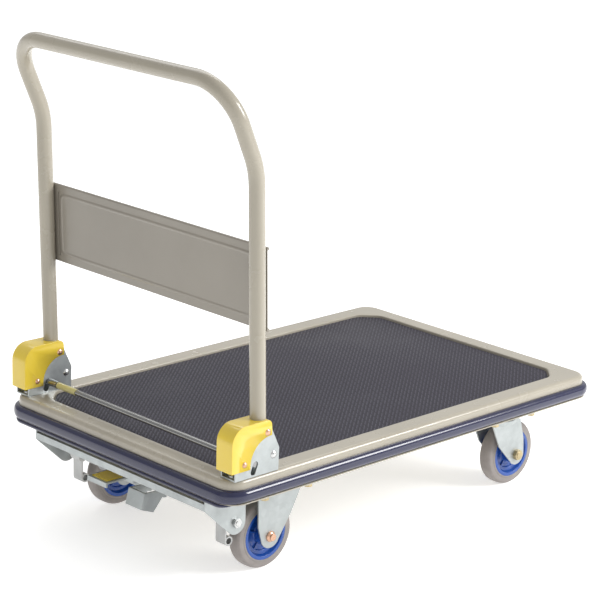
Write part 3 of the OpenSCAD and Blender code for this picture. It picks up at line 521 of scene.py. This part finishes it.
# ------------------------------------------------------------------ handle
def handle_path():
    pts = []
    for k in range(9):
        z = 0.022 + (LEG_L - KINK_T - 0.022) * k / 9
        pts.append(HANDLE @ Vector((-SETBACK, LEG_Y, z)))
    for k in range(17):
        a = KINK * k / 16
        pts.append(HANDLE @ Vector((-SETBACK - KINK_R + KINK_R * math.cos(a), LEG_Y,
                                    LEG_L - KINK_T + KINK_R * math.sin(a))))
    straight = GRIP_L - KINK_T - CORNER_R
    pts.append(UPPER @ Vector((0, LEG_Y, KINK_T + straight / 2)))
    for k in range(25):
        a = math.pi / 2 * k / 24
        pts.append(UPPER @ Vector((0, LEG_Y - CORNER_R + CORNER_R * math.cos(a),
                                   KINK_T + straight + CORNER_R * math.sin(a))))
    half_bar = LEG_Y - CORNER_R
    left = pts + [UPPER @ Vector((0, half_bar * (1 - k / 4), GRIP_L)) for k in range(1, 5)]
    return left + mirrored(left[:-1])[::-1]


def build_handle():
    verts, faces = tube(handle_path(), TUBE_R, 48)
    piece("handle_tube_bent", verts, faces, "cream_paint", "handle", ["handle_tube"], 40)


def spaced(stops, fine, fine_zones, coarse):
    """Grid lines that include stops, close together inside the fine zones."""
    lines = set(stops)
    lo, hi = min(stops), max(stops)
    n = max(1, round((hi - lo) / coarse))
    lines |= {lo + (hi - lo) * k / n for k in range(n + 1)}
    for a, b in fine_zones:
        n = max(1, round((b - a) / fine))
        lines |= {a + (b - a) * k / n for k in range(n + 1)}
    rows = sorted(lines)
    out = [rows[0]]
    for v in rows[1:]:
        if v - out[-1] > 0.00035 or v in stops:
            if v in stops and v - out[-1] <= 0.00035 and out[-1] not in stops:
                out[-1] = v
            elif v - out[-1] > 1e-7:
                out.append(v)
    return out


def build_panel():
    face_x = TUBE_R - SETBACK + 0.00005
    gauge, height, half = 0.0016, 0.136, 0.283
    bead_y, bead_z, bead_w = half - 0.0325, 0.0145, 0.0042
    slit_y, slit_w, slit_z, slit_deep = 0.2583, 0.0013, 0.012, 0.0038
    fine = [(s * bead_y - 0.005, s * bead_y + 0.005) for s in (-1, 1)]
    fine += [(s * slit_y - 0.003, s * slit_y + 0.003) for s in (-1, 1)]
    ys = spaced([-half, half], 0.0007, sorted(fine), 0.02)
    zs = spaced([0.0, height], 0.0007,
                [(bead_z - 0.005, bead_z + 0.005), (height - bead_z - 0.005, height - bead_z + 0.005)], 0.012)

    def lift(y, z):
        """Height of the pressed bead: a rounded rectangle's outline."""
        r = 0.012
        qx = abs(y) - (bead_y - r)
        qz = abs(z - height / 2) - (height / 2 - bead_z - r)
        d = math.hypot(max(qx, 0), max(qz, 0)) + min(max(qx, qz), 0) - r
        bead = math.cos(min(1.0, abs(d) / bead_w) * math.pi / 2) ** 2 * 0.0011
        return bead + 0.00035 / (1 + math.exp(d / 0.0012))

    def slit(y, z):
        """Depth of the narrow pressed channel that runs beside each leg."""
        off_y = max(0.0, abs(abs(y) - slit_y) - slit_w) / 0.0009
        off_z = max(0.0, abs(z - height / 2) - (height / 2 - slit_z)) / 0.002
        return slit_deep * max(0.0, 1.0 - off_y) * max(0.0, 1.0 - off_z)

    grid = [[HANDLE @ Vector((face_x - lift(y, z) + slit(y, z), y, 0.212 + z)) for z in zs] for y in ys]
    back = [[HANDLE @ Vector((face_x + gauge - 0.6 * lift(y, z) + slit(y, z), y, 0.212 + z))
             for z in zs] for y in ys]
    verts = [p for row in grid for p in row] + [p for row in back for p in row]
    n, m = len(ys), len(zs)
    off = n * m

    def on_panel(i, j):
        return 0 <= i < n - 1 and 0 <= j < m - 1

    faces = []
    for i in range(n - 1):
        for j in range(m - 1):
            a, b, c, d = i * m + j, (i + 1) * m + j, (i + 1) * m + j + 1, i * m + j + 1
            faces += [(a, b, c, d), (off + d, off + c, off + b, off + a)]
            for di, dj, p, q in ((-1, 0, d, a), (1, 0, b, c), (0, -1, a, b), (0, 1, c, d)):
                if not on_panel(i + di, j + dj):
                    faces.append((p, off + p, off + q, q))
    parts = [(verts, faces)]
    for z in (0.212, 0.212 + height):
        ends = []
        for k in range(7):
            ends.append((-half + 0.0003 + 0.0016 * (1 - math.cos(math.pi / 2 * k / 6)),
                         0.0022 + 0.0008 * math.sin(math.pi / 2 * k / 6)))
        line = [Vector((face_x + 0.0030, y, z)) for y, _ in ends]
        line += [Vector((face_x + 0.0030, -y, z)) for y, _ in ends[::-1]]
        radii = [r for _, r in ends] + [r for _, r in ends[::-1]]
        parts.append(tube([HANDLE @ p for p in line], radii, 24))
    verts, faces = join(*parts)
    piece("handle_panel_pressed", verts, faces, "panel_paint", "handle", ["handle_panel"], 50)


# ------------------------------------------------------------------ bracket covers
def build_cover(name, stands_for):
    """Moulded shell: side outline extruded, its back and top edges rounded, then hollowed."""
    lo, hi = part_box(stands_for)
    y_lo, y_hi = (lo.y, hi.y)
    back, top, base = lo.x, hi.z, 0.232
    shoulder = 0.030
    front = X0 - 0.3615
    pts = [(back, base)]
    pts += arc(back + shoulder, top - shoulder, shoulder, 180, 90, 14)
    pts += [(X0 - 0.372, top - 0.0004)]
    pts += arc(X0 - 0.3715, top - 0.0095, 0.0092, 88, 12, 6)
    cx, cz, cr = X0 - 0.363, 0.236, 0.0455
    pts += [(front, 0.291)]
    pts += arc(cx, cz, cr, 88.5, 180 + math.degrees(math.asin((cz - base) / cr)), 20)
    bm = bmesh.new()
    a = [bm.verts.new((x, y_lo, z)) for x, z in pts]
    b = [bm.verts.new((x, y_hi, z)) for x, z in pts]
    n = len(pts)
    bm.faces.new(a)
    bm.faces.new(b[::-1])
    band = []
    for i in range(n):
        k = (i + 1) % n
        band.append(bm.faces.new((a[k], a[i], b[i], b[k])))
    bm.normal_update()
    rounded = 22
    edges = []
    for i in range(rounded):
        k = i + 1
        for row in (a, b):
            e = bm.edges.get((row[i], row[k]))
            if e:
                edges.append(e)
    open_faces = [f for i, f in enumerate(band) if i >= rounded]
    marks = [f.calc_center_median().copy() for f in open_faces]
    bmesh.ops.bevel(bm, geom=edges, offset=0.0082, offset_type="OFFSET", segments=7, profile=0.5,
                    affect="EDGES", clamp_overlap=True)
    gone = [f for f in bm.faces if abs(f.normal.y) < 0.3 and any(
        (f.calc_center_median() - c).length < 0.004 for c in marks)]
    bmesh.ops.delete(bm, geom=gone, context="FACES_ONLY")
    bmesh.ops.recalc_face_normals(bm, faces=bm.faces)
    mesh = bpy.data.meshes.new(name)
    bm.to_mesh(mesh)
    bm.free()
    obj = put(name, mesh, "yellow_plastic", "deck", [stands_for])
    wall = obj.modifiers.new("wall", "SOLIDIFY")
    wall.thickness, wall.offset, wall.use_even_offset = 0.0015, -1.0, True
    finish_mesh(mesh, 40)
    return obj


# ------------------------------------------------------------------ wheels
def build_wheel(tag):
    lo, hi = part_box("tyre_" + tag)
    centre = (lo + hi) / 2
    body = {"rigid_left": "rigid_wheel_left", "rigid_right": "rigid_wheel_right",
            "swivel_left": "swivel_wheel_left", "swivel_right": "swivel_wheel_right"}[tag]
    w, r = TYRE_W / 2, WHEEL_R
    half = [(0.0455, 0.0), (0.0455, w - 0.0008), (0.0460, w - 0.0002), (0.0475, w), (0.0488, w - 0.0004),
            (0.0496, w - 0.0012), (0.0510, w - 0.0013), (0.0530, w - 0.0010), (0.0550, w - 0.0018)]
    half += [(r - 0.0072 + 0.0070 * math.cos(a), w - 0.0092 + 0.0078 * math.sin(a))
             for a in (math.radians(78 - 78 * k / 9) for k in range(10))]
    half += [(r - 0.0001, 0.004), (r, 0.0009), (r, 0.0)]
    full = half + [(rad, -y) for rad, y in half[::-1][1:-1]]
    verts, faces = lathe(full, centre, 112)
    piece("tyre_moulded_" + tag, verts, faces, "grey_tyre", body, ["tyre_" + tag], 38)

    hub = [(0.0130, 0.0), (0.0130, 0.0216), (0.0138, 0.0220), (0.0168, 0.0220), (0.0178, 0.0212),
           (0.0182, 0.0130), (0.0186, 0.0066), (0.0200, 0.0050), (0.0240, 0.0046), (0.0285, 0.0046),
           (0.0296, 0.0052), (0.0304, 0.0070), (0.0312, 0.0076), (0.0352, 0.0078), (0.0366, 0.0084),
           (0.0376, 0.0100), (0.0390, 0.0136), (0.0398, 0.0146), (0.0410, 0.0149), (0.0448, 0.0149),
           (0.0456, 0.0146), (0.0459, 0.0138), (0.0459, 0.0)]
    full = hub + [(rad, -y) for rad, y in hub[::-1][1:-1]]
    parts = [lathe(full, centre, 96)]
    ribs, wide, tall = 5, 0.0015, 0.0074
    for k in range(ribs):
        a = 2 * math.pi * k / ribs + math.pi / 2
        c, s = math.cos(a), math.sin(a)
        rows = []
        for rad in (0.0172, 0.0200, 0.0300, 0.0385):
            ring = []
            for t, y in ((-wide, -tall), (wide, -tall), (wide, -tall + 0.001), (wide, tall - 0.001),
                         (wide * 0.7, tall), (-wide * 0.7, tall), (-wide, tall - 0.001),
                         (-wide, -tall + 0.001)):
                ring.append(centre + Vector((rad * c - t * s, y, rad * s + t * c)))
            rows.append(ring)
        parts.append(loft(rows, cap=True))
    verts, faces = join(*parts)
    piece("hub_moulded_" + tag, verts, faces, "blue_hub", body, ["hub_" + tag], 32)


# ------------------------------------------------------------------ build
build_pan()
build_mat()
build_bumper()
build_handle()
build_panel()
build_cover("cover_moulded_left", "bracket_cover_left")
build_cover("cover_moulded_right", "bracket_cover_right")
for wheel in ("rigid_left", "rigid_right", "swivel_left", "swivel_right"):
    build_wheel(wheel)

# ------------------------------------------------------------------ stage, light and camera
floor_net = Net("Studio_Floor", (0.90, 0.90, 0.895), 0.7, Specular_IOR_Level=0.2, Emission_Strength=0.5)
floor_net.bsdf.inputs["Emission Color"].default_value = (1.0, 1.0, 1.0, 1)
floor_net.colour(floor_net.blend(floor_net.noise(0.8, 2.0), (0.885, 0.885, 0.88), (0.91, 0.91, 0.905)))
half_floor = 30.0
floor_mesh = bpy.data.meshes.new("studio_floor")
floor_mesh.from_pydata([(-half_floor, -half_floor, 0), (half_floor, -half_floor, 0),
                        (half_floor, half_floor, 0), (-half_floor, half_floor, 0)], [], [(0, 1, 2, 3)])
floor_mesh.materials.append(floor_net.done())
studio_floor = bpy.data.objects.new("studio_floor", floor_mesh)
bpy.context.scene.collection.objects.link(studio_floor)

world = bpy.data.worlds.new("studio")
bpy.context.scene.world = world
world.use_nodes = True
SKY_TOWARDS, SKY_DARK, SKY_BRIGHT = (0.80, -0.35, 0.48), 0.46, 0.74
sky = world.node_tree
sky_place = sky.nodes.new("ShaderNodeTexCoord")
sky_axis = sky.nodes.new("ShaderNodeVectorMath")
sky_axis.operation = "DOT_PRODUCT"
sky_axis.inputs[1].default_value = SKY_TOWARDS
sky_range = sky.nodes.new("ShaderNodeMapRange")
for socket, value in zip(list(sky_range.inputs)[1:5], (-0.9, 0.6, SKY_DARK, SKY_BRIGHT)):
    socket.default_value = value
sky.links.new(sky_place.outputs["Generated"], sky_axis.inputs[0])
sky.links.new(sky_axis.outputs["Value"], sky_range.inputs[0])
sky.links.new(sky_range.outputs[0], sky.nodes["Background"].inputs[1])
sky.nodes["Background"].inputs[0].default_value = (1.0, 1.0, 1.0, 1)


def softbox(name, place, target, size, power, tint=(1, 1, 1)):
    lamp = bpy.data.lights.new(name, "AREA")
    lamp.shape, lamp.size, lamp.size_y = "RECTANGLE", size[0], size[1]
    lamp.energy, lamp.color = power, tint
    obj = bpy.data.objects.new(name, lamp)
    bpy.context.scene.collection.objects.link(obj)
    obj.location = place
    obj.rotation_mode = "QUATERNION"
    obj.rotation_quaternion = (Vector(target) - Vector(place)).to_track_quat("-Z", "Y")


softbox("key_right", (2.1, -2.7, 2.1), (0.0, 0.0, 0.3), (1.5, 1.6), 105)
softbox("top_back", (0.9, 1.4, 2.9), (0.0, 0.0, 0.2), (2.6, 2.0), 30)
softbox("fill_left", (-3.2, -0.6, 1.3), (0.0, 0.0, 0.35), (1.6, 1.8), 2)

azimuth, elevation, roll = (math.radians(v) for v in (-43.8645737, 16.3786758, 1.5215505))
back_axis = Vector((math.sin(azimuth) * math.cos(elevation), -math.cos(azimuth) * math.cos(elevation),
                    math.sin(elevation)))
flat_right = Vector((math.cos(azimuth), math.sin(azimuth), 0))
flat_up = back_axis.cross(flat_right)
right_axis = flat_right * math.cos(roll) + flat_up * math.sin(roll)
up_axis = -flat_right * math.sin(roll) + flat_up * math.cos(roll)
CAMERA_BACK, CAMERA_RIGHT, CAMERA_UP = 4.227929, -0.0085858, 0.3452912
AIM_HEIGHT, LENS = 0.015974, 136.757
eye = back_axis * CAMERA_BACK + right_axis * CAMERA_RIGHT + up_axis * CAMERA_UP
eye += Vector((X0, 0, AIM_HEIGHT))
camera = bpy.data.objects.new("camera", bpy.data.cameras.new("camera"))
bpy.context.scene.collection.objects.link(camera)
camera.data.sensor_width, camera.data.lens = 36.0, LENS
camera.data.clip_start, camera.data.clip_end = 0.1, 100.0
turn = Matrix((right_axis, up_axis, back_axis)).transposed().to_4x4()
camera.matrix_world = Matrix.Translation(eye) @ turn
bpy.context.scene.camera = camera
bpy.context.scene.view_settings.view_transform = "Standard"
bpy.context.scene.view_settings.exposure = 0.0

bpy.context.view_layer.update()
